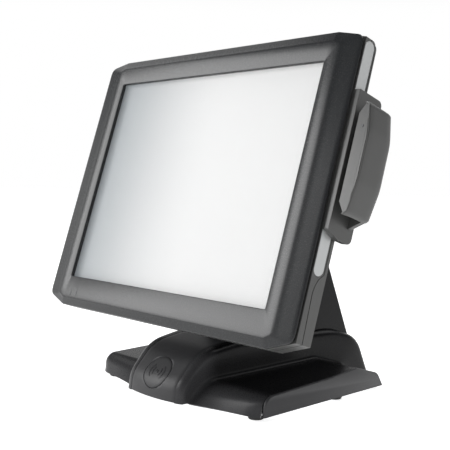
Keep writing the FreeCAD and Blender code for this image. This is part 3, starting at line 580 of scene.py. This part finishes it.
def base_rows():
    """Hump and wing points that belong together, from the front to the rear, with their share of the bow."""
    fore = [stretch_of(line, -math.inf, FORE_END, FORE_ROWS) for line in (HUMP, WING)]
    rear = [stretch_of(line, REAR_START, math.inf, REAR_ROWS) for line in (HUMP, WING)]
    deck = [FORE_END + (REAR_START - FORE_END) * k / DECK_ROWS for k in range(1, DECK_ROWS)]
    rows = [(hump, wing, 1 - k / (FORE_ROWS - 1)) for k, (hump, wing) in enumerate(zip(*fore))]
    rows += [(point_at(HUMP, y), point_at(WING, y), 0) for y in deck]
    return rows + [(hump, wing, 0) for hump, wing in zip(*rear)]


def hump_share(y):
    """0 at the hump's front and 1 at its rear."""
    return (y - HUMP_FRONT) / (HUMP_REAR - HUMP_FRONT)


def end_line(y):
    """The wings' outer end at a depth."""
    if y < 0:
        return END_MIDDLE + (END_FRONT - END_MIDDLE) * y / WING_FRONT
    return END_MIDDLE - END_TAPER * y


def wing_lead(x, high):
    """How far the wing's front lies ahead of its own profile; the shift fades out towards the top."""
    x = min(END_FRONT, max(WING_REACH[0][0], abs(x)))
    (a, reach_a), (b, reach_b) = next(pair for pair in zip(WING_REACH, WING_REACH[1:]) if x <= pair[1][0])
    share = (x - a) / (b - a)
    reach = reach_a + (reach_b - reach_a) * (share ** 1.6 if b == END_FRONT else share)
    return reach * max(0, (LEAD_TOP - high) / (LEAD_TOP - FLOOR)) ** 0.85


def section(row):
    """Half a cross-section as (x, y, z), from the middle outwards."""
    hump, wing, fore = row
    drop = (hump - wing).length
    half = HUMP_FRONT_HALF + (HUMP_REAR_HALF - HUMP_FRONT_HALF) * hump_share(hump.x)
    scale = min(1, drop / LOW_STEP)
    crest, fillet = (CREST_FRONT + CREST_GROWTH * hump_share(hump.x)) * scale, FILLET * scale

    def mix(x, share):
        """A point between the wing's line (share 0) and the hump's line (share 1)."""
        h = Vector((hump.x + fore * BOW * (min(abs(x), half) / BOW_HALF) ** 2, hump.y))
        w = Vector((wing.x - (wing_lead(x, wing.y) if wing.x < FORE_END + 1 else 0), wing.y))
        p = w.lerp(h, share)
        return Vector((x, p.x, p.y))

    inner = half - crest
    points = [mix(x, 1) for x in (0, 6, 12, 18, 24, 29, 33, PANEL_HALF)]
    points += [mix(PANEL_HALF + (inner - PANEL_HALF) * t, 1) for t in (0.02, 0.35, 0.7, 1)]
    for k in range(1, 9):
        angle = CREST_TURN * k / 8
        points.append(mix(inner + crest * math.sin(angle), 1 - crest * (1 - math.cos(angle)) / drop))
    low = fillet / drop
    start = 1 - crest * (1 - math.cos(CREST_TURN)) / drop
    for t in (0.33, 0.66):
        points.append(mix(half + 0.3 * t, start + (low - start) * t))
    foot = half + SIDE_LEAN
    for k in range(7):
        angle = FILLET_TURN * k / 6
        points.append(mix(foot + fillet * (1 - math.cos(angle)), low * (1 - math.sin(angle))))
    reach = foot + fillet
    for t in (0.05, 0.12, 0.22, 0.34, 0.48, 0.62, 0.76, 0.88, 0.96, 1):
        points.append(mix(reach + (end_line(wing.x) - END_PANEL - reach) * t, 0))
    return points


def mirrored(half_row):
    return [Vector((-p.x, p.y, p.z)) for p in half_row[:0:-1]] + half_row


def make_shell():
    """The base's thin shell, sunk by its own thickness where the front panel lies in it."""
    rows = base_rows()
    lines = [mirrored(section(row)) for row in rows]
    bm = bmesh.new()
    grid = add_loft(bm, [[base_point(*p) for p in line] for line in lines], around=False)
    bmesh.ops.recalc_face_normals(bm, faces=bm.faces[:])
    bm.normal_update()
    under_panel = [vert for (hump, _, _), line, verts in zip(rows, lines, grid) if hump.x < PANEL_REAR
                   for p, vert in zip(line, verts) if abs(p.x) <= PANEL_HALF]
    normals = [vert.normal.copy() for vert in under_panel]
    for vert, normal in zip(under_panel, normals):
        vert.co -= normal * SHELL_WALL * MM * (1 if normal.z > 0 or normal.y < 0 else -1)
    mesh = bpy.data.meshes.new("shell_draft")
    bm.to_mesh(mesh)
    bm.free()
    draft = put_in_scene("shell_draft", mesh)
    thick = draft.modifiers.new("thick", "SOLIDIFY")
    thick.thickness = SHELL_WALL * MM
    thick.offset = -1
    for face in mesh.polygons:
        face.use_smooth = True
    shell = applied(draft)
    shell.set_sharp_from_angle(angle=math.radians(40))
    add_piece("base_housing", shell, "base", "base_plastic", "base_shell")


# ---------------------------------------------------------------- front panel and contactless mark

FRONT_LINE = [p for p in HUMP if p.x <= PANEL_REAR + 0.5]
front_lengths = distances(FRONT_LINE)
mark_low, mark_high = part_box("contactless_mark")
MARK_R = (mark_high.x - mark_low.x) / 2 / MM
MARK_Z = (mark_low.z + mark_high.z) / 2 / MM
MARK_AT = front_lengths[min(range(len(FRONT_LINE) // 2), key=lambda k: abs(FRONT_LINE[k].y - MARK_Z))]
PANEL_SINK, PANEL_CROWN = -2, 0.15
PANEL_FOOT, PANEL_GAP, PANEL_ROLL, SEAT_GAP = 0.4, 0.5, 0.5, 0.45
# The panel's grid has a square field round the mark, FIELD_HALF to each side and FIELD_STEPS cells across.
FIELD_HALF, FIELD_STEPS = 25, 16


def on_panel(x, s, rise=0):
    """A point of the panel: x across, s along the profile from the floor, rise outwards."""
    k = 1
    while k < len(FRONT_LINE) - 1 and front_lengths[k] < s:
        k += 1
    a, b = FRONT_LINE[k - 1], FRONT_LINE[k]
    p = a + (b - a) * ((s - front_lengths[k - 1]) / (front_lengths[k] - front_lengths[k - 1]))
    lean = (FRONT_LINE[min(k + 4, len(FRONT_LINE) - 1)] - FRONT_LINE[max(k - 5, 0)]).normalized()
    fore = max(0, 1 - s / BOW_FADE)
    y = p.x + fore * BOW * (x / BOW_HALF) ** 2
    rise -= PANEL_CROWN * (x / PANEL_HALF) ** 2
    return base_point(x, y - lean.y * rise, p.y + lean.x * rise)


def on_mark(radius, angle, rise, side=1):
    return on_panel(side * radius * math.cos(angle), MARK_AT + radius * math.sin(angle), rise)


def border(left, right, low, high):
    """The grid places round a rectangle, once round."""
    return ([(i, low) for i in range(left, right)] + [(right, j) for j in range(low, high)]
            + [(i, high) for i in range(right, left, -1)] + [(left, j) for j in range(high, low, -1)])


def make_panel():
    """The grey front panel: a bent sheet with a round seat for the mark and a rolled edge."""
    steps = [2 * FIELD_HALF / FIELD_STEPS * k - FIELD_HALF for k in range(FIELD_STEPS + 1)]
    across = [-PANEL_HALF + PANEL_ROLL, -30, *steps, 30, PANEL_HALF - PANEL_ROLL]
    field_top, panel_top = MARK_AT + FIELD_HALF, front_lengths[-1] - PANEL_GAP - PANEL_ROLL
    upper = [field_top + (panel_top - field_top) * k / 8 for k in range(1, 9)]
    along = [PANEL_FOOT + PANEL_ROLL] + [MARK_AT + step for step in steps] + upper
    left, low = 2, 1
    right, top = left + FIELD_STEPS, low + FIELD_STEPS
    last_i, last_j = len(across) - 1, len(along) - 1
    bm = bmesh.new()
    verts = {(i, j): bm.verts.new(on_panel(x, s)) for i, x in enumerate(across) for j, s in enumerate(along)}
    for i in range(last_i):
        for j in range(last_j):
            if not (left <= i < right and low <= j < top):
                bm.faces.new((verts[i, j], verts[i + 1, j], verts[i + 1, j + 1], verts[i, j + 1]))

    seat = MARK_R + SEAT_GAP
    field = border(left, right, low, top)
    previous = [verts[place] for place in field]
    for t, rise in ((0.4, 0), (0.8, 0), (0.97, 0), (1, -0.3), (1, PANEL_SINK)):
        loop = []
        for i, j in field:
            dx, ds = across[i], along[j] - MARK_AT
            share = 1 + (seat / math.hypot(dx, ds) - 1) * t
            loop.append(bm.verts.new(on_panel(dx * share, MARK_AT + ds * share, rise)))
        add_band(bm, previous, loop)
        previous = loop

    edge = border(0, last_i, 0, last_j)
    previous = [verts[place] for place in edge]
    for out, rise in ((0.35, -0.15), (PANEL_ROLL, -0.5), (PANEL_ROLL, PANEL_SINK)):
        loop = []
        for i, j in edge:
            x = across[i] + out * ((i == last_i) - (i == 0))
            s = along[j] + out * ((j == last_j) - (j == 0))
            loop.append(bm.verts.new(on_panel(x, s, rise)))
        add_band(bm, loop, previous)
        previous = loop
    add_piece("contactless_panel", finish_mesh("contactless_panel", bm, 40), "base", "base_grey_plastic",
              "front_panel")


def make_mark():
    """The round reading mark: a disc, and a dot with two arcs on each side in low relief; the dot and the
    arcs are black, a painted shade that stands in for the dark inside engraved lines.
    """
    bm = bmesh.new()
    levels = [(MARK_R, PANEL_SINK), (MARK_R, -0.35), (MARK_R - 0.12, -0.1), (MARK_R - 0.45, 0)]
    levels += [(radius, 0) for radius in (15, 12, 9, 5, 2.2)]
    grid = add_loft(bm, [[on_mark(radius, a, rise) for a in circle(64)] for radius, rise in levels])
    bm.faces.new(grid[-1])
    add_piece("contactless_disc", finish_mesh("contactless_disc", bm, 40), "base", "base_grey_plastic",
              "contactless_mark")

    bm = bmesh.new()
    sweep = [math.radians(-44 + 88 * k / 16) for k in range(17)]
    for side in (1, -1):
        for radius in (5.8, 10):
            add_loft(bm, [[on_mark(radius + out, a, rise, side)
                           for out, rise in ((-0.8, -0.3), (-0.65, 0.3), (0.65, 0.3), (0.8, -0.3))]
                          for a in sweep], caps=True)
    add_loft(bm, [[on_mark(radius, a, rise) for a in circle(20)]
                  for radius, rise in ((2.4, -0.3), (2.2, 0.3), (1, 0.5))], caps=True)
    # The dot and the arcs take the black base plastic: painted shade for the dark inside the mark's engraved
    # lines.
    add_piece("contactless_arcs_painted_shade", finish_mesh("contactless_arcs_painted_shade", bm, 40), "base", "base_plastic")


# ---------------------------------------------------------------- end panels and feet

def make_end_panels():
    outline = [wing for _, wing, _ in base_rows()]
    for side, name in ((1, "end_panel_right"), (-1, "end_panel_left")):
        rows = []
        for inset, back in ((0, 3), (0, 0.9), (0.25, 0.3), (0.8, 0)):
            row = []
            for k, p in enumerate(outline):
                before, after = outline[max(k - 1, 0)], outline[min(k + 1, len(outline) - 1)]
                lean = (after - before).normalized()
                q = p + Vector((lean.y, -lean.x)) * inset
                row.append(base_point(side * (end_line(q.x) - back), q.x, max(q.y, FLOOR)))
            rows.append(row)
        bm = bmesh.new()
        add_loft(bm, rows, caps=True)
        add_piece(name + "_form", finish_mesh(name, bm), "base", slot_of[name], name)


def make_feet():
    """Turned rubber feet with a rounded sole, at the places of the CAD feet."""
    bm = bmesh.new()
    for low, high in islands("feet"):
        centre = (low + high) / 2
        radius, top = (high.x - low.x) / 2, high.z
        profile = [(0.55, 0.3 * MM), (0.6, 0), (0.82, 0), (0.9, 0.4 * MM), (0.95, 1.2 * MM), (1, 2.6 * MM),
                   (1, top * 0.8), (0.97, top)]
        rows = [[Vector((centre.x + radius * share * math.cos(a), centre.y + radius * share * math.sin(a), z))
                 for a in circle(32)] for share, z in profile]
        add_loft(bm, rows, caps=True)
    add_piece("rubber_feet", finish_mesh("rubber_feet", bm), "base", "black_rubber", "feet")


make_eased_pieces()
make_bezel()
make_light_bars()
make_reader_skin()
make_shell()
make_panel()
make_mark()
make_end_panels()
make_feet()

# ---------------------------------------------------------------- studio, in metres

CAMERA_AT = Vector((0.6620, -0.6481, 0.21795))
AZIMUTH, ELEVATION, ROLL = (math.radians(a) for a in (47.31, 2.81, 1.31))
LENS_MM = 67.86
# Each lamp's name, place, aim, size and power in watts.
LAMPS = [
    ("key", (-1.58, -1.60, 1.0), (0, 0, 0.25), (1.15, 1.1), 28.5),
    ("upper_left", (-1.5, -0.1, 1.5), (0, -0.05, 0.1), (0.9, 0.9), 3),
    ("top", (0.35, 0.1, 1.9), (0, 0, 0), (1.2, 1.2), 12),
    ("rear", (0.2, 1.5, 1.6), (0, 0, 0.1), (1.0, 1.0), 4),
]


def make_camera():
    back = Vector((math.sin(AZIMUTH) * math.cos(ELEVATION), -math.cos(AZIMUTH) * math.cos(ELEVATION),
                   math.sin(ELEVATION)))
    right = (-back).cross(Vector((0, 0, 1))).normalized()
    up = right.cross(-back)
    across = right * math.cos(ROLL) + up * math.sin(ROLL)
    upward = up * math.cos(ROLL) - right * math.sin(ROLL)
    data = bpy.data.cameras.new("camera")
    data.lens = LENS_MM
    data.sensor_width = 36
    data.clip_start = 0.01
    camera = put_in_scene("camera", data)
    turn = Matrix((across, upward, back)).transposed()
    camera.matrix_world = Matrix.Translation(CAMERA_AT) @ turn.to_4x4()
    bpy.context.scene.camera = camera


def add_lamp(name, at, target, size, power):
    data = bpy.data.lights.new(name, "AREA")
    data.shape = "RECTANGLE"
    data.size, data.size_y = size
    data.energy = power
    direction = Vector(target) - Vector(at)
    turn = direction.to_track_quat("-Z", "Y").to_matrix()
    put_in_scene(name, data).matrix_world = Matrix.Translation(Vector(at)) @ turn.to_4x4()


def make_floor():
    """A wide, white, faintly lit sheet under the object."""
    bm = bmesh.new()
    add_loft(bm, [[Vector((radius * math.cos(a), radius * math.sin(a), 0)) for a in circle(48)]
                  for radius in (0.0005, 1, 3, 8, 20)])
    floor = put_in_scene("floor", finish_mesh("floor", bm))
    look = material("floor", (0.93, 0.93, 0.93), rough=0.7, spread=0.01, grain=20)
    shader = look.node_tree.nodes["Principled BSDF"]
    shader.inputs["Emission Color"].default_value = (1, 1, 1, 1)
    shader.inputs["Emission Strength"].default_value = 0.8
    floor.data.materials.append(look)


def make_world():
    """A bright studio wall at eye level that falls off towards the ceiling."""
    world = bpy.data.worlds.new("studio")
    world.use_nodes = True
    tree = world.node_tree
    fall = add_range(tree, place_along(tree, "Generated", "Z"), 0.19, 0.42, soft=True)
    wall = add_mix(tree, fall, (1, 1, 1), (0.15, 0.15, 0.155))
    tree.links.new(wall, tree.nodes["Background"].inputs["Color"])
    bpy.context.scene.world = world


make_floor()
make_world()
bpy.context.scene.view_settings.view_transform = "Standard"
for lamp in LAMPS:
    add_lamp(*lamp)
make_camera()
